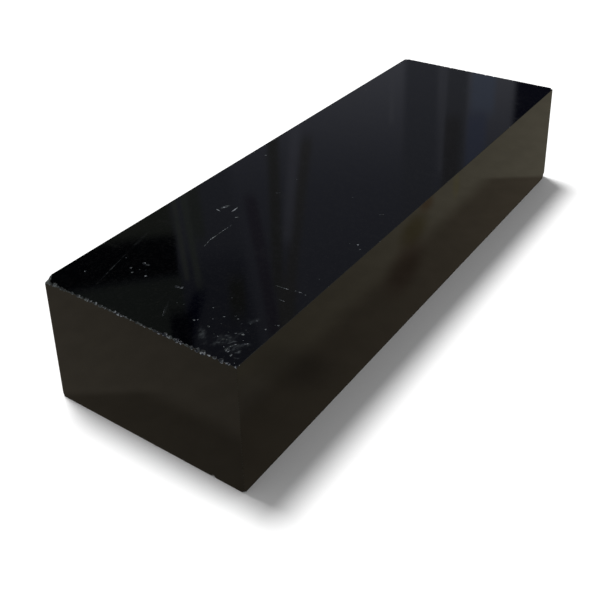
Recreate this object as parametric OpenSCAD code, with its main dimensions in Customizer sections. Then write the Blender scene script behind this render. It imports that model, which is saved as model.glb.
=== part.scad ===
// Granite tooling slab for leatherwork: one solid bar of polished black granite.
// The bar stands on its base. +X runs along its length, +Y across its width, +Z up,
// and the origin is at the middle of the base.

/* [Bar] */
// Length of the bar, end to end
bar_l = 305; // [150:5:450]
// Width of the bar
bar_w = 100; // [60:1:160]
// Height of the bar, base to working face
bar_h = 59; // [30:1:80]

/* [Corners and arrises] */
// Plan radius of three of the upright corners
soft_corner_r = 2; // [1:0.5:8]
// Plan radius of the fourth one, at the front end on the -Y side
crisp_corner_r = 0.5; // [0.5:0.1:1.8]
// Width of the 45 degree arris ground along every horizontal edge
arris = 0.4; // [0.2:0.05:0.4]

/* [Saw-cut chipping] */
// Number of chips along the working face's front end, left by the saw
front_chips = 44; // [0:1:50]
// Number of chips along the working face's rear end
rear_chips = 20; // [0:1:50]
// Smallest chip, as the radius of the scoop it leaves
chip_r_min = 0.7; // [0.5:0.1:0.8]
// Largest chip, as the radius of the scoop it leaves
chip_r_max = 1.3; // [0.9:0.1:1.3]
// Seed of the chips' sizes and places
chip_seed = 7; // [1:1:99]

/* [Knocks] */
// Radius of the scoop that took the tip off the front end's +Y top corner
tip_r = 8; // [6:0.5:10]
// How far into the corner that scoop goes
tip_depth = 2.9; // [1.5:0.1:3.2]
// Distance of the knock in the front base edge from the -Y side
knock_y = 16; // [8:1:50]
// Radius of the scoop that the knock leaves
knock_r = 1.8; // [0.8:0.1:2.5]

/* [Hidden] */
round_fn = 96;
scoop_fn = 24;
half_l = bar_l / 2;
half_w = bar_w / 2;
// A chip's centre stands this share of its radius out from the middle of the arris.
chip_lift = 0.45;
// The knock's centre stands this share of its radius out from the end, and below the base.
knock_lift = 0.55;
// Each chip wanders up to this share of its spacing along the edge, to either side.
chip_wander = 0.12;
// No chip is wider than this share of its spacing.
chip_fill = 0.86;
// The blow that broke the tip came from this direction.
tip_way = [-0.44, 0.48, 0.76];
tip_out = tip_way / norm(tip_way);
tip_lift = tip_r - tip_depth;
// The broken tip ends this far along the end's top edge.
tip_run = sqrt(pow(tip_out.y * tip_lift, 2) + pow(tip_r, 2) - pow(tip_lift, 2)) - tip_out.y * tip_lift;

// Plan radius of the upright corner at that end and side, each -1 or 1.
function corner_r(end, side) = end < 0 && side < 0 ? crisp_corner_r : soft_corner_r;

// Where an end's chips stop short of that side, so that they keep clear of the corner.
function chip_stop(end, side) =
    half_w - chip_r_max - (end < 0 && side > 0 ? max(tip_run, soft_corner_r) : corner_r(end, side));

// Places of count chips from y0 to y1. Each keeps to its own share of the edge, so that
// neighbours never run into each other.
function chip_places(count, shift, y0, y1) =
    [for (i = [0 : 1 : count - 1]) y0 + (y1 - y0) * (i + 0.5 + shift[i]) / count];

// Outline of a bar of height bar_h and half width half, with an arris at each corner,
// from the middle of its base round one side to the middle of its top: x is the distance
// out, y the height.
function half_outline(half) = [
    [0, 0],
    [half - arris, 0],
    [half, arris],
    [half, bar_h - arris],
    [half - arris, bar_h],
    [0, bar_h]
];

// The bar from its middle plane out to one side, between x0 and x1.
module side_half(side, x0, x1) {
    translate([x0, 0, 0])
        rotate([90, 0, 90])
            linear_extrude(x1 - x0)
                polygon([for (p = half_outline(half_w)) [side * p[0], p[1]]]);
}

// The bar from its middle plane out to one end, between y0 and y1.
module end_half(end, y0, y1) {
    translate([0, y1, 0])
        rotate([90, 0, 0])
            linear_extrude(y1 - y0)
                polygon([for (p = half_outline(half_l)) [end * p[0], p[1]]]);
}

// One upright corner, turned to its radius, with the arrises at its foot and head.
module corner_post(end, side) {
    r = corner_r(end, side);
    translate([end * (half_l - r), side * (half_w - r), 0])
        rotate_extrude($fn = round_fn)
            polygon(half_outline(r));
}

// The bar before it was chipped.
module sawn_bar() {
    union() {
        for (side = [-1, 1])
            side_half(side, corner_r(-1, side) - half_l, half_l - corner_r(1, side));
        for (end = [-1, 1])
            end_half(end, corner_r(end, -1) - half_w, half_w - corner_r(end, 1));
        for (end = [-1, 1], side = [-1, 1])
            corner_post(end, side);
    }
}

// The scoops along the working face's edge at one end of the bar.
module end_chips(end, count, seed) {
    radius = rands(chip_r_min, chip_r_max, max(count, 1), seed);
    shift = rands(-chip_wander, chip_wander, max(count, 1), seed + 1);
    low = -chip_stop(end, -1);
    high = chip_stop(end, 1);
    places = chip_places(count, shift, low, high);
    chip_max = (high - low) / max(count, 1) * chip_fill / 2;
    for (i = [0 : 1 : count - 1]) {
        r = min(radius[i], chip_max);
        lift = chip_lift * r / sqrt(2);
        translate([end * (half_l + lift - arris / 2), places[i], bar_h + lift - arris / 2])
            sphere(r = r, $fn = scoop_fn);
    }
}

// The scoop that took the tip off the front end's +Y top corner.
module broken_tip() {
    translate([-half_l, half_w, bar_h] + tip_lift * tip_out)
        sphere(r = tip_r, $fn = round_fn);
}

// The knock in the front base edge.
module base_knock() {
    lift = knock_lift * knock_r;
    translate([-half_l - lift, knock_y - half_w, -lift])
        sphere(r = knock_r, $fn = scoop_fn);
}

// The whole part: one piece of stone.
module granite_bar() {
    color("#1d1d1c")
        difference() {
            sawn_bar();
            end_chips(-1, front_chips, chip_seed);
            end_chips(1, rear_chips, chip_seed + 10);
            broken_tip();
            base_knock();
        }
}

granite_bar();
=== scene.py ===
"""Granite tooling slab: the looks of one bar of polished black granite.

The bar is one mesh. It starts as a plain bar with rounded upright corners and a ground arris along
every edge, and then each chip, pit and scratch is cut out of it as a small solid. What the cuts lay
bare is broken stone. The faces are polished, the arrises only ground, and the base is as it was sawn.

Everything is in metres, in the CAD frame: +X along the bar, +Z up, the origin under its middle.
"""

import math
import random

import bmesh
import bpy
from mathutils import Euler, Matrix, Quaternion, Vector, noise

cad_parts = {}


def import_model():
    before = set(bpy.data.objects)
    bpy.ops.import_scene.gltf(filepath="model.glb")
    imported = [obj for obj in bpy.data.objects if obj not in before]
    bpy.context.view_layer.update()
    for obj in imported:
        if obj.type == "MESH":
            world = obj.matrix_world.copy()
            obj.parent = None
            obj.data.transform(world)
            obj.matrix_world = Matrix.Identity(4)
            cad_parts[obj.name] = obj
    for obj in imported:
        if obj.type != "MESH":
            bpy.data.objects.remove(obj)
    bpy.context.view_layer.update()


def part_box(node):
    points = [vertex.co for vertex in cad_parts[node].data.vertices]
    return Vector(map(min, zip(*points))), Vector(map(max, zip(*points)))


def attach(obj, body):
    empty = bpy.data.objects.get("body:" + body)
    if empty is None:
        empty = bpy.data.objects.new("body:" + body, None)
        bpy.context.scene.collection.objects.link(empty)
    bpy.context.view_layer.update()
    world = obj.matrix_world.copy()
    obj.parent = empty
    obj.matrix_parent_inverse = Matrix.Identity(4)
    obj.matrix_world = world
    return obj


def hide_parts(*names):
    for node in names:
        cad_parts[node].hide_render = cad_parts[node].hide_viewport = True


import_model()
MM = 0.001
LOW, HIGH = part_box("granite_bar")
HALF_L, HALF_W, TOP = HIGH.x, HIGH.y, HIGH.z

# The bar before it was damaged
SOFT_CORNER = 2.0 * MM    # plan radius of three of the upright corners
CRISP_CORNER = 0.2 * MM   # and of the fourth, at the front end on the -Y side
ARC_STEPS = 8             # pieces in each corner's quarter turn
SIDE_STEP = 2.0 * MM      # length of the pieces between the corners
ARRIS = 0.16 * MM         # mean width of the ground arris
ARRIS_DRIFT = 0.03 * MM   # how far its width drifts, as it was ground by hand
DRIFT_LENGTH = 9 * MM     # over about what length it drifts
ARRIS_STEPS = 3           # pieces in the arris's quarter turn

POLISHED, GROUND, SAWN, BROKEN = range(4)   # the bar's material slots, in order
GRANITE_IOR = 1.55


# ---------------------------------------------------------------- the plain bar

def bar_outline():
    """The bar's plan, anticlockwise, as pairs of a point and the direction straight out from it."""
    corners = [(1, 1, SOFT_CORNER), (-1, 1, SOFT_CORNER), (-1, -1, CRISP_CORNER), (1, -1, SOFT_CORNER)]
    arcs = []
    for quarter, (side_x, side_y, radius) in enumerate(corners):
        centre = Vector((side_x * (HALF_L - radius), side_y * (HALF_W - radius)))
        turns = [math.radians(90 * (quarter + k / ARC_STEPS)) for k in range(ARC_STEPS + 1)]
        outward = [Vector((math.cos(turn), math.sin(turn))) for turn in turns]
        arcs.append([(centre + radius * out, out) for out in outward])
    outline = []
    for arc, following in zip(arcs, arcs[1:] + arcs[:1]):
        start, out = arc[-1]
        end = following[0][0]
        pieces = round((end - start).length / SIDE_STEP)
        outline += arc
        outline += [(start.lerp(end, k / pieces), out) for k in range(1, pieces)]
    return outline


def arris_width(point, height):
    """How wide the arris is there."""
    return ARRIS + ARRIS_DRIFT * noise.noise(Vector((point.x, point.y, height)) / DRIFT_LENGTH)


def plain_bar():
    """A bmesh of the bar before it was damaged."""
    bar = bmesh.new()
    outline = bar_outline()
    turns = [math.radians(90 * k / ARRIS_STEPS) for k in range(ARRIS_STEPS + 1)]
    levels = [(0, turn) for turn in turns] + [(TOP, turn) for turn in reversed(turns)]
    rings = []
    for height, turn in levels:
        ring = []
        for point, out in outline:
            width = arris_width(point, height)
            inset, drop = width * (1 - math.sin(turn)), width * (1 - math.cos(turn))
            place = point - inset * out
            ring.append(bar.verts.new((place.x, place.y, abs(height - drop))))
        rings.append(ring)
    count = len(outline)
    for row, (ring, above) in enumerate(zip(rings, rings[1:])):
        for i in range(count):
            j = (i + 1) % count
            face = bar.faces.new((ring[i], ring[j], above[j], above[i]))
            x, y = outline[i][1] + outline[j][1]
            # Only the crisp corner looks towards -X and -Y at once. It was ground, like the arrises.
            crisp = x < -0.01 and y < -0.01
            face.material_index = GROUND if crisp or row != ARRIS_STEPS else POLISHED
    bar.faces.new(reversed(rings[0])).material_index = SAWN
    bar.faces.new(rings[-1]).material_index = POLISHED
    return bar


# ---------------------------------------------------------------- damage

LUMPY = (0.82, 1.12)      # least and most that a lump's points lie out, as shares of its radii
LUMP_REACH = 1.15         # how much room a lump is given, as a share of its longest radius
SPALL_REACH = 1.1         # the same for a spall
# The waves on a spall: their length and their height, in mm
RIPPLES = [(1.6, 0.36), (0.5, 0.16)]
GROOVE_STEP = 1.5 * MM    # length of a scratch's pieces
GROOVE_WANDER = 0.08      # how far it wanders to either side, in mm


class Cuts:
    """Small solids to take out of the bar, in layers: no two solids in one layer overlap. A solid
    for which no layer has room is left out."""

    def __init__(self, seed, layers):
        self.rng = random.Random(seed)
        self.layers = [bmesh.new() for _ in range(layers)]
        self.taken = [[] for _ in range(layers)]

    def layer_for(self, place, reach):
        """The first layer with nothing near enough to overlap, or None."""
        for solids, taken in zip(self.layers, self.taken):
            if all((place - other).length > reach + far for other, far in taken):
                taken.append((place.copy(), reach))
                return solids
        return None

    def lump(self, place, size, turn):
        """A rough ellipsoid of those three radii, which leaves a shell-shaped hollow."""
        solids = self.layer_for(place, max(size) * LUMP_REACH)
        if solids is None:
            return
        matrix = Matrix.Translation(place) @ turn.to_matrix().to_4x4() @ Matrix.Diagonal((*size, 1))
        made = bmesh.ops.create_icosphere(solids, subdivisions=2, radius=1, matrix=matrix)
        for vert in made["verts"]:
            vert.co = place + (vert.co - place) * self.rng.uniform(*LUMPY)

    def spall(self, place, size):
        """A larger ellipsoid with low ripples on it, for a corner that has broken or worn away."""
        solids = self.layer_for(place, max(size) * SPALL_REACH)
        if solids is None:
            return
        matrix = Matrix.Translation(place) @ Matrix.Diagonal((*size, 1))
        made = bmesh.ops.create_icosphere(solids, subdivisions=6, radius=1, matrix=matrix)
        for vert in made["verts"]:
            ripple = sum(height * noise.noise(vert.co / (length * MM)) for length, height in RIPPLES)
            vert.co += (vert.co - place).normalized() * ripple * MM

    def groove(self, start, end, width, depth):
        """A long thin spindle along the top, which leaves a scratch that fades at both ends."""
        along = end - start
        across = Vector((-along.y, along.x, 0)).normalized()
        solids = self.layer_for((start + end) / 2, along.length / 2)
        if solids is None:
            return
        pieces = max(3, round(along.length / GROOVE_STEP))
        rings = []
        for k in range(1, pieces):
            swell = math.sin(math.pi * k / pieces) ** 0.5 * self.rng.uniform(0.6, 1)
            aside = across * self.rng.uniform(-GROOVE_WANDER, GROOVE_WANDER) * MM
            middle = start + along * (k / pieces) + aside
            edge, bottom = across * width / 2, Vector((0, 0, -depth))
            offsets = [edge, -bottom, -edge, bottom]
            rings.append([solids.verts.new(middle + offset * swell) for offset in offsets])
        tips = solids.verts.new(start), solids.verts.new(end)
        for ring, following in zip(rings, rings[1:]):
            for i in range(4):
                j = (i + 1) % 4
                solids.faces.new((ring[i], ring[j], following[j], following[i]))
        for i in range(4):
            j = (i + 1) % 4
            solids.faces.new((tips[0], rings[0][j], rings[0][i]))
            solids.faces.new((tips[1], rings[-1][i], rings[-1][j]))


def on_top(x, y):
    """A point on the working face, x mm from the front end and y mm from the -Y side."""
    return Vector((x * MM - HALF_L, y * MM - HALF_W, TOP))


def any_turn(rng):
    """A random turn."""
    return Euler([rng.uniform(0, math.tau) for _ in range(3)])


def chip_edge(cuts, stretch, height, gaps, sizes):
    """Chips along a stretch of the outline, at the top (height TOP) or the base (height 0).
    gaps and sizes give the least and the most, in mm, at the stretch's start and at its end."""
    rng = cuts.rng
    up = 1 if height else -1
    lengths = [0]
    for (a, _), (b, _) in zip(stretch, stretch[1:]):
        lengths.append(lengths[-1] + (b - a).length)
    total = lengths[-1]

    def drawn(limits, share):
        first, last = limits
        low, high = (a + (b - a) * share for a, b in zip(first, last))
        return rng.uniform(low, high) * MM

    gone = drawn(gaps, 0) * rng.random()
    while gone < total:
        share = gone / total
        k = next(i for i, length in enumerate(lengths) if length > gone)
        a, b = stretch[k - 1], stretch[k]
        mix = (gone - lengths[k - 1]) / (lengths[k] - lengths[k - 1])
        point, out = a[0].lerp(b[0], mix), a[1].lerp(b[1], mix).normalized()
        size = drawn(sizes, share)
        lift = size * rng.uniform(0.1, 0.4)
        place = Vector((point.x + out.x * lift, point.y + out.y * lift, height + up * lift))
        shape = [size * rng.uniform(0.75, 1.35), size * rng.uniform(0.7, 1.2), size * rng.uniform(0.6, 1.1)]
        heading = math.atan2(out.y, out.x)
        turn = Euler((rng.uniform(-0.5, 0.5), rng.uniform(-0.4, 0.4), heading + rng.uniform(-0.5, 0.5)))
        cuts.lump(place, shape, turn)
        gone += drawn(gaps, share)


# Where the front end's +Y top corner broke away: mm from the corner along the end's top edge, the way
# out of the stone, how far out the solid's middle lies in mm, and its radii in mm.
SPALLS = [
    (0.0, (-0.44, 0.48, 0.76), 4.75, (9.0, 7.0, 6.5)), (1.2, (-0.8, 0.25, 0.5), 3.3, (4.2, 4.0, 4.6)),
    (3.2, (-0.66, 0.0, 0.75), 2.2, (2.9, 3.4, 3.1)), (7.4, (-0.7, 0.0, 0.7), 1.6, (2.2, 2.6, 2.3)),
]
# Corners that are worn round: their end and side, their height, and the radius in mm of the solid
# that takes each one off. Its middle lies WORN_LIFT mm out of all three faces.
WORN = [
    (-1, -1, 0, 2.1), (-1, 1, 0, 3.0), (1, -1, 0, 4.8), (1, 1, 0, 2.6),
    (1, -1, TOP, 2.7), (1, 1, TOP, 2.4),
]
WORN_LIFT = 0.7
# The knock in the front end's base edge: how far it is from the -Y side, how far out of both faces
# the solid's middle lies, and its radii, all in mm.
KNOCK = (15.0, 0.2, (1.2, 1.5, 1.1))
END_REACH = 3.5 * MM    # how far round its corners an end's row of chips carries on
# Scratches on the working face, from x, y to x, y in mm as on_top takes them, and their width.
SCRATCHES = [
    (54.5, 61, 60.5, 62.5, 0.25), (60, 62.5, 66, 62.5, 0.6), (65.5, 62.5, 77, 62.5, 0.5),
    (85, 76, 89, 74.5, 1.2), (83, 77.5, 82.5, 74.5, 0.8), (84.5, 70, 90, 70, 0.85),
    (81.5, 65.5, 83, 64, 0.65), (110, 63.5, 112, 61.5, 0.5), (48, 18, 48.5, 11.5, 0.35),
    (49, 10, 49.5, 6, 0.4), (41, 12, 41, 8.5, 0.35), (8, 42, 13.5, 45.5, 0.1),
    (118.5, 12, 120, 10, 0.5), (7.5, 9.5, 10.5, 8, 0.65), (11, 7, 13, 4.5, 1.0),
    (140, 92.5, 140.5, 91, 0.5),
]
# Pits on the working face: x, y in mm, and the radius.
PITS = [
    (6, 9, 1.9), (26, 50.5, 1.4), (26.5, 48.5, 1.1), (13, 30.5, 0.8), (14, 29.5, 0.5), (13, 23.5, 0.8),
    (22.5, 17, 0.6), (23, 11.5, 0.9), (25.5, 10.5, 0.7), (16, 9.5, 0.8), (18, 9, 0.6), (27, 3, 0.5),
    (27.5, 2, 0.6), (23, 4.5, 0.5), (10, 14, 0.8), (4.5, 6, 0.9), (18, 43.5, 0.5), (18.5, 40.5, 0.4),
    (23, 29.5, 0.4), (14, 90, 0.8), (30.5, 83, 0.5), (31.5, 73.5, 1.3), (31.5, 71.5, 1.1),
    (26, 76, 0.8), (24, 73, 0.8), (27, 72, 0.5), (28, 69.5, 0.6), (25, 66.5, 0.8), (91.5, 6.5, 0.6),
    (89, 4, 0.6), (90.5, 10, 0.4), (127, 63, 0.4), (126, 30.5, 0.4), (61, 6, 0.5), (244, 94, 0.5),
    (49, 4.5, 0.6),
]
# Fine dents round the crisp corner, where tools were set down: middle x, y, spread in mm, how many
DENTS = [(9.0, 9.0, 4.5, 10), (16.0, 14.0, 7.0, 9)]
# Smears and scuffed patches: middle x, y, turn in degrees, half length, half width in mm, strength
SMEARS = [
    (7.4, 21.6, 45, 7.5, 2.2, 1.0), (10.5, 13.2, -25, 6.5, 3.6, 0.5), (7.5, 8.0, -30, 5.0, 3.0, 0.45),
    (24.6, 11.2, -40, 4.0, 2.2, 0.45), (87.0, 75.3, -20, 3.6, 1.4, 1.2), (31.3, 72.4, 90, 2.8, 1.3, 0.5),
    (12.0, 44.0, 30, 7.0, 0.8, 0.35), (44.0, 88.0, 15, 9.0, 1.2, 0.25),
    (20.5, 82.0, 15, 19.0, 0.35, 0.75), (6.0, 9.0, -20, 1.9, 1.2, 1.8),
    (6.5, 14.5, -30, 3.6, 1.8, 0.5), (10.5, 16.5, -35, 3.4, 1.5, 0.45), (11.0, 6.0, -50, 4.6, 1.6, 0.8),
]


def damage():
    """Every solid to cut from the bar: the lumps, and apart from them the grooves."""
    lumps, grooves = Cuts(seed=11, layers=5), Cuts(seed=12, layers=4)
    rng = lumps.rng
    outline = bar_outline()
    front = [pair for pair in outline if pair[0].x < -HALF_L + END_REACH]
    rear = [pair for pair in outline if pair[0].x > HALF_L - END_REACH]
    rear = sorted(rear, key=lambda pair: pair[0].y)
    # The saw broke the front end's top edge all along, most of all towards the -Y side, and at the
    # other corner the tip is gone.
    for inset, way, lift, radii in SPALLS:
        start = Vector((-HALF_L, HALF_W - inset * MM, TOP))
        lumps.spall(start + Vector(way).normalized() * lift * MM, [radius * MM for radius in radii])
    chip_edge(lumps, front, TOP, gaps=((1.4, 2.5), (2.3, 3.4)), sizes=((0.8, 1.4), (1.2, 1.9)))
    chip_edge(lumps, front, TOP, gaps=((0.9, 2.0), (2.0, 4.0)), sizes=((0.3, 0.7), (0.4, 0.7)))
    chip_edge(lumps, rear, TOP, gaps=((3.0, 6.0), (3.0, 6.0)), sizes=((0.5, 0.9), (0.5, 0.9)))
    # Every edge at the top and the base has a nick here and there.
    for height in (0, TOP):
        chip_edge(lumps, outline, height, gaps=((15, 60), (15, 60)), sizes=((0.2, 0.4), (0.2, 0.4)))
    along, lift, radii = KNOCK
    knock = Vector((-HALF_L - lift * MM, along * MM - HALF_W, -lift * MM))
    lumps.lump(knock, [radius * MM for radius in radii], Euler((0.3, 0.2, 0.1)))
    for end, side, height, radius in WORN:
        way = Vector((end, side, 1 if height else -1))
        corner = Vector((end * HALF_L, side * HALF_W, height))
        lumps.spall(corner + way * WORN_LIFT * MM, [radius * MM] * 3)
    for x, y, radius in PITS:
        size = radius * MM
        place = on_top(x, y) + Vector((0, 0, 0.35 * size))
        lumps.lump(place, [size, size * 0.8, size * 0.6], any_turn(rng))
    for x, y, spread, count in DENTS:
        for _ in range(count):
            place = on_top(max(rng.gauss(x, spread), 1.5), max(rng.gauss(y, spread), 1.5))
            size = rng.uniform(0.12, 0.25) * MM
            lumps.lump(place + Vector((0, 0, 0.4 * size)), [size * rng.uniform(1.5, 3.5), size, size * 0.6],
                       Euler((0, 0, rng.gauss(-0.8, 0.4))))
    for x0, y0, x1, y1, width in SCRATCHES:
        grooves.groove(on_top(x0, y0), on_top(x1, y1), width * MM, 0.15 * width * MM)
    return lumps, grooves


# ---------------------------------------------------------------- the bar

def mesh_object(name, bm):
    """A new object from a bmesh, which is then freed."""
    mesh = bpy.data.meshes.new(name)
    bm.to_mesh(mesh)
    bm.free()
    made = bpy.data.objects.new(name, mesh)
    bpy.context.scene.collection.objects.link(made)
    return made


def cut(bar, solids):
    """Takes the solids out of the bar. The faces that they leave are BROKEN."""
    bmesh.ops.recalc_face_normals(solids, faces=solids.faces)
    for face in solids.faces:
        face.material_index = BROKEN
    cutter = mesh_object("cutter", solids)
    for material in bar.data.materials:
        cutter.data.materials.append(material)
    boolean = bar.modifiers.new("cut", "BOOLEAN")
    boolean.operation, boolean.solver, boolean.object = "DIFFERENCE", "MANIFOLD", cutter
    cut_bar = bar.evaluated_get(bpy.context.evaluated_depsgraph_get())
    mesh = bpy.data.meshes.new_from_object(cut_bar)
    bar.modifiers.clear()
    bar.data = mesh
    bpy.data.objects.remove(cutter)


# Edges that bend by more than this many degrees are shaded sharp: where stone broke, and elsewhere.
BROKEN_BEND, PLAIN_BEND = 20, 34


def smooth(bar):
    """Smooth shading, with an edge wherever broken stone begins and at every sharp bend."""
    shaped = bmesh.new()
    shaped.from_mesh(bar.data)
    for face in shaped.faces:
        face.smooth = True
    for edge in shaped.edges:
        slots = [face.material_index for face in edge.link_faces]
        bend = math.degrees(edge.calc_face_angle(math.pi))
        broken = slots.count(BROKEN)
        edge.smooth = broken in (0, 2) and bend < (BROKEN_BEND if broken else PLAIN_BEND)
    shaped.to_mesh(bar.data)
    shaped.free()
    even = bar.modifiers.new("flat faces stay flat", "WEIGHTED_NORMAL")
    even.keep_sharp = True


def granite_bar(materials):
    """The whole bar, damaged and shaded."""
    bar = mesh_object("granite_slab", plain_bar())
    for material in materials:
        bar.data.materials.append(material)
    for cuts in damage():
        for solids in cuts.layers:
            cut(bar, solids)
    smooth(bar)
    return bar


# ---------------------------------------------------------------- nodes

OVAL_DEPTH = 2 * MM    # half height of an oval, so that a mark stays on its own face


class Nodes:
    """Short ways to build a node tree."""

    def __init__(self, tree):
        self.tree = tree
        tree.nodes.clear()

    def add(self, kind, inputs=(), **settings):
        """A node with those settings, and its inputs set from pairs of a name or number and a value."""
        node = self.tree.nodes.new(kind)
        for name, value in settings.items():
            setattr(node, name, value)
        for name, value in dict(inputs).items():
            socket = node.inputs[name]
            if isinstance(value, bpy.types.NodeSocket):
                self.tree.links.new(value, socket)
            else:
                socket.default_value = value
        return node

    def math(self, operation, *values):
        """The result of one Math node."""
        return self.add("ShaderNodeMath", enumerate(values), operation=operation).outputs[0]

    def ramp(self, value, low, high, start=0.0, end=1.0):
        """value mapped smoothly from low..high to start..end, and held there."""
        node = self.add("ShaderNodeMapRange", {"Value": value, "From Min": low, "From Max": high,
                                               "To Min": start, "To Max": end},
                        interpolation_type="SMOOTHSTEP")
        return node.outputs["Result"]

    def mix(self, factor, first, second):
        """first and second colours, mixed by factor."""
        node = self.add("ShaderNodeMix", data_type="RGBA")
        for name, value in (("Factor_Float", factor), ("A_Color", first), ("B_Color", second)):
            socket = next(s for s in node.inputs if s.identifier == name)
            if isinstance(value, bpy.types.NodeSocket):
                self.tree.links.new(value, socket)
            else:
                socket.default_value = (*value, 1) if isinstance(value, tuple) else value
        return next(s for s in node.outputs if s.identifier == "Result_Color")

    def noise(self, place, size, detail=3.0, roughness=0.55):
        """Noise whose blobs are about size across."""
        node = self.add("ShaderNodeTexNoise", {"Vector": place, "Scale": 1 / size, "Detail": detail,
                                               "Roughness": roughness})
        return node.outputs["Fac"]

    def crystals(self, place, size):
        """One random number for each crystal about size across."""
        cells = self.add("ShaderNodeTexVoronoi", {"Vector": place, "Scale": 1 / size})
        return self.add("ShaderNodeSeparateColor", {0: cells.outputs["Color"]}).outputs[0]

    def oval(self, place, middle, turn, length, width):
        """How far place is from the middle of a flat oval, as a share of the way to its edge. turn is
        in degrees, and length and width are half sizes in mm."""
        local = self.add("ShaderNodeMapping", {
            "Vector": place, "Location": middle, "Rotation": (0, 0, math.radians(turn)),
            "Scale": (length * MM, width * MM, OVAL_DEPTH)}, vector_type="TEXTURE").outputs[0]
        return self.add("ShaderNodeVectorMath", {0: local}, operation="LENGTH").outputs["Value"]

    def stretched(self, place, turn, scale):
        """place, turned about Z and scaled."""
        node = self.add("ShaderNodeMapping", {"Vector": place, "Rotation": (0, 0, turn), "Scale": scale})
        return node.outputs[0]


def stone(name):
    """A material for the stone: its nodes, and the place on the bar in metres."""
    material = bpy.data.materials.new(name)
    material.use_nodes = True
    nodes = Nodes(material.node_tree)
    place = nodes.add("ShaderNodeTexCoord").outputs["Object"]
    return material, nodes, place


def finish(nodes, color, roughness, relief, depth):
    """The shader that ends a stone material. relief is a height from 0 to 1, depth its size."""
    bump = nodes.add("ShaderNodeBump", {"Height": relief, "Distance": depth, "Strength": 1.0})
    shader = nodes.add("ShaderNodeBsdfPrincipled", {
        "Base Color": color, "Roughness": roughness, "IOR": GRANITE_IOR, "Normal": bump.outputs[0]})
    nodes.add("ShaderNodeOutputMaterial", {"Surface": shader.outputs[0]})


# ---------------------------------------------------------------- materials

def polished_stone():
    """Black granite with a mirror polish: crystals that hardly show, faint haze and wiped dust."""
    material, nodes, place = stone("polished_granite")
    crystal = nodes.crystals(place, 1.1 * MM)
    speck = nodes.crystals(place, 0.45 * MM)
    cloud = nodes.noise(place, 30 * MM)
    wiped = nodes.noise(nodes.stretched(place, 0.5, (1, 0.12, 1)), 5 * MM, detail=4)
    dust = nodes.math("MULTIPLY", nodes.ramp(wiped, 0.52, 0.75), nodes.ramp(cloud, 0.42, 0.62))
    streaks = nodes.noise(nodes.stretched(place, math.radians(-45), (0.5, 1, 1)), 1.3 * MM, detail=4)
    haze = 0.0
    for x, y, turn, length, width, strength in SMEARS + scuffs():
        inside = nodes.ramp(nodes.oval(place, on_top(x, y), turn, length, width), 1.0, 0.1)
        haze = nodes.math("MAXIMUM", haze, nodes.math("MULTIPLY", strength, inside))
    haze = nodes.math("MULTIPLY", haze, nodes.ramp(streaks, 0.38, 0.68, 0.12, 1.7))
    color = nodes.mix(nodes.ramp(crystal, 0.55, 1.0), (0.0003, 0.0003, 0.0004), (0.0011, 0.0011, 0.0012))
    color = nodes.mix(nodes.ramp(speck, 0.975, 0.99), color, (0.003, 0.0028, 0.0024))
    color = nodes.mix(nodes.math("MULTIPLY", dust, 0.003), color, (0.35, 0.34, 0.32))
    color = nodes.mix(nodes.math("MULTIPLY", haze, 0.042), color, (0.32, 0.36, 0.38))
    roughness = nodes.math("ADD", nodes.ramp(crystal, 0.0, 1.0, 0.02, 0.038),
                           nodes.ramp(cloud, 0.45, 0.7, 0.0, 0.02))
    dulled = nodes.math("MULTIPLY", nodes.math("ADD", dust, haze), 0.05)
    roughness = nodes.math("ADD", roughness, dulled)
    wave = nodes.noise(place, 14 * MM, detail=1)
    relief = nodes.math("ADD", nodes.math("MULTIPLY", crystal, 0.3), wave)
    finish(nodes, color, roughness, relief, 0.002 * MM)
    return material


def scuffs():
    """Short soft marks round the crisp corner, where tools were set down, as SMEARS gives them."""
    rng = random.Random(21)
    return [(rng.gauss(9.5, 3.6), rng.gauss(9.5, 3.6), rng.gauss(-40, 25), rng.uniform(0.8, 2.2),
             rng.uniform(0.4, 0.9), rng.uniform(0.6, 1.6)) for _ in range(16)]


def ground_stone():
    """The arrises: ground by hand and not polished, so a little greyer, with fine grinding marks."""
    material, nodes, place = stone("ground_granite")
    crystal = nodes.crystals(place, 0.9 * MM)
    marks = nodes.noise(place, 0.5 * MM, detail=4)
    color = nodes.mix(crystal, (0.008, 0.008, 0.007), (0.018, 0.018, 0.016))
    color = nodes.mix(nodes.ramp(marks, 0.55, 0.8), color, (0.03, 0.03, 0.028))
    finish(nodes, color, nodes.ramp(marks, 0.3, 0.8, 0.22, 0.4), marks, 0.006 * MM)
    return material


def sawn_stone():
    """The base: sawn, with the arcs that a round blade leaves, and dark grey where it is dry."""
    material, nodes, place = stone("sawn_granite")
    crystal = nodes.crystals(place, 1.1 * MM)
    grit = nodes.noise(place, 0.6 * MM, detail=5)
    dry = nodes.ramp(nodes.noise(place, 40 * MM), 0.4, 0.7, 0.0, 0.35)
    # The middle of the arcs is the blade's axle, off to one side of the bar.
    from_blade = nodes.add("ShaderNodeVectorMath", {0: place, 1: (0.1, -0.28, 0)}, operation="ADD")
    arcs = nodes.add("ShaderNodeTexWave", {
        "Vector": from_blade.outputs[0], "Scale": 1 / (9 * MM), "Distortion": 0.6, "Detail": 2.0,
        "Detail Scale": 1.5}, wave_type="RINGS", rings_direction="Z").outputs["Fac"]
    relief = nodes.math("ADD", nodes.math("MULTIPLY", arcs, 0.6), nodes.math("MULTIPLY", grit, 0.8))
    color = nodes.mix(nodes.ramp(crystal, 0.2, 1.0), (0.022, 0.022, 0.022), (0.06, 0.06, 0.058))
    color = nodes.mix(dry, color, (0.08, 0.078, 0.074))
    finish(nodes, color, nodes.ramp(arcs, 0.0, 1.0, 0.5, 0.68), relief, 0.06 * MM)
    return material


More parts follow.
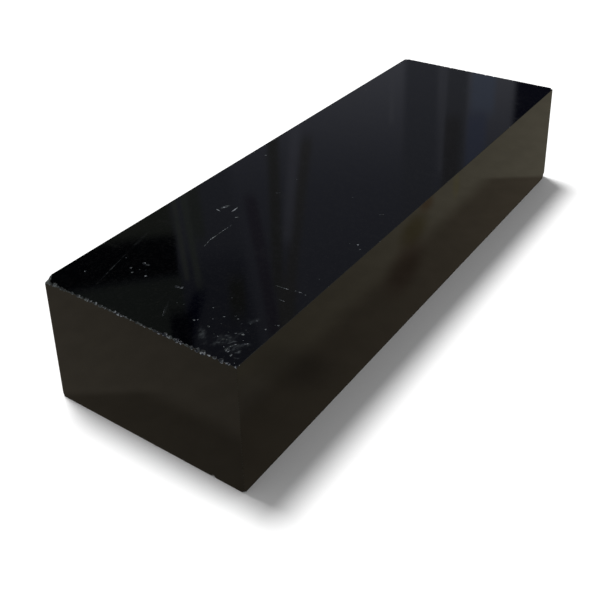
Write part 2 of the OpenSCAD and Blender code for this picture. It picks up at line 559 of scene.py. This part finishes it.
def broken_stone():
    """Chips, pits and scratches: crushed crystals, which scatter light and so look pale."""
    material, nodes, place = stone("broken_granite")
    crystal = nodes.crystals(place, 0.75 * MM)
    fine = nodes.crystals(place, 0.3 * MM)
    coarse = nodes.noise(place, 3 * MM)
    color = nodes.mix(nodes.ramp(crystal, 0.35, 0.85), (0.006, 0.007, 0.011), (0.2, 0.215, 0.232))
    color = nodes.mix(nodes.ramp(fine, 0.4, 0.9, 0.0, 0.8), color, (0.01, 0.011, 0.014))
    color = nodes.mix(nodes.ramp(coarse, 0.42, 0.66, 0.0, 0.6), color, (0.045, 0.052, 0.046))
    # At the front end, the breaks are darker towards the +Y side.
    x, y, _ = nodes.add("ShaderNodeSeparateXYZ", {0: place}).outputs
    darker_to_plus_y = nodes.math("MULTIPLY", nodes.ramp(y, -0.5 * HALF_W, HALF_W, 0.0, 0.65),
                      nodes.ramp(x, 6 * MM - HALF_L, 4 * MM - HALF_L))
    color = nodes.mix(darker_to_plus_y, color, (0.026, 0.03, 0.027))
    relief = nodes.noise(place, 0.25 * MM, detail=4)
    finish(nodes, color, nodes.ramp(crystal, 0.0, 1.0, 0.45, 0.8), relief, 0.08 * MM)
    return material


# ---------------------------------------------------------------- camera, floor and light

CAMERA_PLACE = (-343.9, -214.8, 263.4)    # mm
CAMERA_WAY = (-55.0, 24.97, -1.27)        # azimuth, elevation and roll, in degrees
CAMERA_LENS, CAMERA_SENSOR = 53.61, 36    # mm
CAMERA_SHIFT = -0.273                     # of the frame's width


def camera():
    """The main view's camera. Its shift keeps the upright edges nearly upright."""
    data = bpy.data.cameras.new("camera")
    data.lens, data.sensor_width = CAMERA_LENS, CAMERA_SENSOR
    data.shift_y = CAMERA_SHIFT
    made = bpy.data.objects.new("camera", data)
    bpy.context.scene.collection.objects.link(made)
    azimuth, elevation, roll = (math.radians(angle) for angle in CAMERA_WAY)
    back = Vector((math.sin(azimuth) * math.cos(elevation),
                   -math.cos(azimuth) * math.cos(elevation), math.sin(elevation)))
    made.rotation_mode = "QUATERNION"
    made.rotation_quaternion = (-back).to_track_quat("-Z", "Y") @ Quaternion((0, 0, 1), roll)
    made.location = [value * MM for value in CAMERA_PLACE]
    bpy.context.scene.camera = made


# The card that the slab really stands on, as its polish mirrors it. The card glows, and the bar's shadow
# on it is painted shadow, darker colour in the glow. Its colours are along the bar's -Y side, at that
# side's far end, and beside the front end.
SHADE = Vector((-22, -30)) * MM    # how far the shadow's edge lies from the bar
LIT_SIDE, LIT_FAR, LIT_END = (0.192, 0.168, 0.121), (0.25, 0.226, 0.168), (0.232, 0.202, 0.156)
DARK_SIDE, DARK_FAR, DARK_END = (0.125, 0.105, 0.077), (0.145, 0.121, 0.088), (0.15, 0.128, 0.096)
# Tinted patches on the card, darker or lighter: middle x, y, turn in degrees, half length and width in mm,
# and the colour that they multiply by
CARD_PATCHES = [
    (-82, -76, 80, 28, 20, (0.74, 0.74, 0.76)), (16, -74, -16, 42, 11, (0.71, 0.63, 0.62)),
    (52, -88, -14, 30, 9, (0.7, 0.66, 0.5)), (84, -97, -20, 18, 6, (0.84, 0.68, 0.58)),
    (114, -92, -24, 26, 3, (1.08, 1.06, 0.86)), (-110, -84, 0, 26, 14, (0.88, 0.88, 0.94)),
]


def card(nodes, place):
    """The light that comes off the card at each place: its glow, with the bar's shadow painted into it."""
    x, y, _ = nodes.add("ShaderNodeSeparateXYZ", {0: place}).outputs
    reach = SHADE.length
    # Distances are taken across the way that the painted shadow falls, from the middle of the bar: of each
    # place, of the shadow's two edges, and of the near corner.
    aslant = nodes.math("ADD", nodes.math("MULTIPLY", x, SHADE.y / reach),
                        nodes.math("MULTIPLY", y, -SHADE.x / reach))
    across = abs(SHADE.y * HALF_L - SHADE.x * -HALF_W) / reach
    corner = (SHADE.y * -HALF_L - SHADE.x * -HALF_W) / reach
    shade_x, shade_y = SHADE.x - HALF_L, SHADE.y - HALF_W
    within = nodes.math("SUBTRACT", across, nodes.math("ABSOLUTE", aslant))
    # shade is the painted shadow: 1 inside the bar's shadow, where the card's glow takes the dark colours.
    shade = nodes.ramp(within, -3 * MM, 3 * MM)
    shade = nodes.math("MULTIPLY", shade, nodes.ramp(x, shade_x - 7 * MM, shade_x + 5 * MM))
    shade = nodes.math("MULTIPLY", shade, nodes.ramp(y, shade_y - 6 * MM, shade_y + 8 * MM))
    at_end = nodes.ramp(aslant, corner - 9 * MM, corner + 9 * MM)
    far = nodes.ramp(x, -60 * MM, 140 * MM)
    # Painted light and shade: a lit and a shaded colour, each changing beside the front end and towards the
    # far end.
    lit = nodes.mix(at_end, nodes.mix(far, LIT_SIDE, LIT_FAR), LIT_END)
    dark = nodes.mix(at_end, nodes.mix(far, DARK_SIDE, DARK_FAR), DARK_END)
    color = nodes.mix(shade, lit, dark)
    for patch_x, patch_y, turn, length, width, tint in CARD_PATCHES:
        distance = nodes.oval(place, (patch_x * MM, patch_y * MM, 0), turn, length, width)
        tinted = nodes.add("ShaderNodeVectorMath", {0: color, 1: tint}, operation="MULTIPLY").outputs[0]
        color = nodes.mix(nodes.ramp(distance, 1.0, 0.2), color, tinted)
    mottle = nodes.ramp(nodes.noise(place, 12 * MM, detail=4), 0.3, 0.7, 0.95, 1.05)
    return nodes.add("ShaderNodeVectorMath", {0: color, "Scale": mottle}, operation="SCALE").outputs[0]


def floor_material():
    """White paper to the camera, and to the stone's polish the beige card that a slab really stands on,
    as a glow with the bar's shadow painted into it.
    """
    material = bpy.data.materials.new("floor")
    material.use_nodes = True
    material.cycles.emission_sampling = "NONE"
    nodes = Nodes(material.node_tree)
    place = nodes.add("ShaderNodeTexCoord").outputs["Object"]
    paper = nodes.add("ShaderNodeBsdfDiffuse", {"Color": (0.9, 0.9, 0.9, 1)}).outputs[0]
    # The glow carries painted light and the bar's painted shadow; the lamp doesn't light it.
    painted_card_glow = nodes.add("ShaderNodeEmission", {"Color": card(nodes, place)}).outputs[0]
    seen = nodes.add("ShaderNodeLightPath").outputs["Is Camera Ray"]
    shader = nodes.add("ShaderNodeMixShader", {0: seen, 1: painted_card_glow, 2: paper})
    nodes.add("ShaderNodeOutputMaterial", {"Surface": shader.outputs[0]})
    return material


FLOOR_REACH = 20         # metres, to each side
FLOOR_GAP = 0.02 * MM    # between the floor and the base


def floor():
    """A floor that reaches past the edge of every view."""
    plane = bmesh.new()
    bmesh.ops.create_grid(plane, x_segments=1, y_segments=1, size=FLOOR_REACH)
    made = mesh_object("floor", plane)
    made.data.materials.append(floor_material())
    made.location.z = LOW.z - FLOOR_GAP


# The room that the polish mirrors: its colours low down and high up, and patches on it. Each patch is:
# azimuth from and to, elevation from and to, all in degrees, how far its edges fade, how far it leans
# for each degree above LEAN_FROM, and its colour.
ROOM_LOW, ROOM_HIGH = (0.18, 0.187, 0.222), (0.102, 0.108, 0.138)
LEAN_FROM = 30
ROOM = [
    (-30, 20.8, 0, 90, 0.25, 0.0, (0.015, 0.016, 0.03)),
    (22.1, 23.65, 0, 23.2, 0.25, 0.0, (0.162, 0.19, 0.262)),
    (22.5, 23.8, 23.2, 90, 0.3, 0.0, (0.12, 0.138, 0.208)),
    (23.9, 25.3, 0, 90, 0.2, 0.0, (0.1, 0.105, 0.125)),
    (24.2, 25.3, 23.5, 90, 0.3, 0.0, (0.08, 0.08, 0.088)),
    (25.35, 25.65, 0, 27, 0.12, 0.0, (0.14, 0.146, 0.175)),
    (25.8, 28.1, 0, 90, 0.3, 0.0, (0.1, 0.106, 0.13)),
    (28.8, 29.1, 0, 24, 0.15, 0.0, (0.175, 0.182, 0.215)),
    (35.2, 36.0, 25, 90, 0.3, 0.16, (0.098, 0.098, 0.102)),
    (35.9, 36.6, 0, 31.5, 0.3, 0.12, (0.16, 0.166, 0.205)),
    (36.8, 37.6, 0, 34.5, 0.25, 0.0, (0.082, 0.084, 0.084)),
    (35.9, 37.3, 34, 90, 0.4, 0.0, (0.1, 0.1, 0.1)),
    (38.3, 39.2, 28.5, 90, 0.25, -0.17, (0.074, 0.069, 0.094)),
    (39.9, 90, 0, 32, 0.5, -0.15, (0.09, 0.096, 0.121)),
    (39.9, 90, 32, 90, 0.5, -0.15, (0.06, 0.065, 0.088)),
    (39.7, 40.9, 33.5, 36, 0.3, 0.0, (0.05, 0.053, 0.048)),
    (42.4, 43.4, 0, 31, 0.3, -0.1, (0.08, 0.09, 0.085)),
    (43.3, 43.75, 28, 34, 0.15, -0.12, (0.105, 0.12, 0.11)),
    (44.1, 44.45, 0, 33.4, 0.12, -0.1, (0.118, 0.13, 0.122)),
    (44.6, 90, 0, 31, 0.3, -0.1, (0.062, 0.069, 0.058)),
    (44.3, 90, 33, 90, 0.25, 0.0, (0.054, 0.064, 0.058)),
    (44.5, 90, 30.5, 33.1, 0.2, 0.0, (0.003, 0.004, 0.006)),
    (40.7, 41.7, 34.2, 37.8, 0.25, 0.45, (0.003, 0.005, 0.026)),
    (43.9, 45.5, 35.3, 90, 0.3, 0.0, (0.003, 0.004, 0.01)),
]


def room(nodes):
    """The colour of the room in each direction."""
    way = nodes.add("ShaderNodeSeparateXYZ", {0: nodes.add("ShaderNodeTexCoord").outputs["Generated"]})
    x, y, z = way.outputs
    azimuth = nodes.math("DEGREES", nodes.math("ARCTAN2", y, x))
    elevation = nodes.math("DEGREES", nodes.math("ARCSINE", z))
    color = nodes.mix(nodes.ramp(elevation, 19, 29), ROOM_LOW, ROOM_HIGH)
    above = nodes.math("SUBTRACT", elevation, LEAN_FROM)
    for start, end, bottom, top, fade, lean, patch in ROOM:
        turned = nodes.math("ADD", azimuth, nodes.math("MULTIPLY", above, -lean))
        inside = nodes.math("MULTIPLY", nodes.ramp(turned, start - fade, start + fade),
                            nodes.ramp(turned, end + fade, end - fade))
        for edge, sense in ((bottom, 1), (top, -1)):
            if 0 < edge < 90:
                reach = sense * 2 * fade
                inside = nodes.math("MULTIPLY", inside, nodes.ramp(elevation, edge - reach, edge + reach))
        color = nodes.mix(inside, color, patch)
    return color


def world():
    """White behind the floor, an even light all round, and a dim room for the polish to mirror."""
    made = bpy.data.worlds.new("studio")
    bpy.context.scene.world = made
    made.use_nodes = True
    made.cycles.sampling_method = "NONE"
    nodes = Nodes(made.node_tree)
    path = nodes.add("ShaderNodeLightPath")
    color = nodes.mix(path.outputs["Is Glossy Ray"], (0.4, 0.4, 0.4), room(nodes))
    color = nodes.mix(path.outputs["Is Camera Ray"], color, (1.0, 1.0, 1.0))
    background = nodes.add("ShaderNodeBackground", {"Color": color}).outputs[0]
    nodes.add("ShaderNodeOutputWorld", {"Surface": background})


KEY_WAY = (74, 70.5)    # azimuth and elevation of the key light, in degrees
KEY_SPREAD = 16         # degrees
KEY_STRENGTH = 3.2


def key_light():
    """One large soft light, high up on the +Y side. The bar's shadow falls along its -Y side and its
    front end. The polish doesn't mirror the light."""
    data = bpy.data.lights.new("key", "SUN")
    data.energy, data.angle = KEY_STRENGTH, math.radians(KEY_SPREAD)
    made = bpy.data.objects.new("key", data)
    bpy.context.scene.collection.objects.link(made)
    azimuth, elevation = (math.radians(angle) for angle in KEY_WAY)
    towards = Vector((math.cos(azimuth) * math.cos(elevation), math.sin(azimuth) * math.cos(elevation),
                      math.sin(elevation)))
    made.rotation_mode = "QUATERNION"
    made.rotation_quaternion = towards.to_track_quat("Z", "Y")
    made.visible_glossy = False


# ---------------------------------------------------------------- the scene

bpy.context.scene.view_settings.view_transform = "Standard"
camera()
slab = granite_bar([polished_stone(), ground_stone(), sawn_stone(), broken_stone()])
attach(slab, "root")
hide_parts("granite_bar")
floor()
world()
key_light()
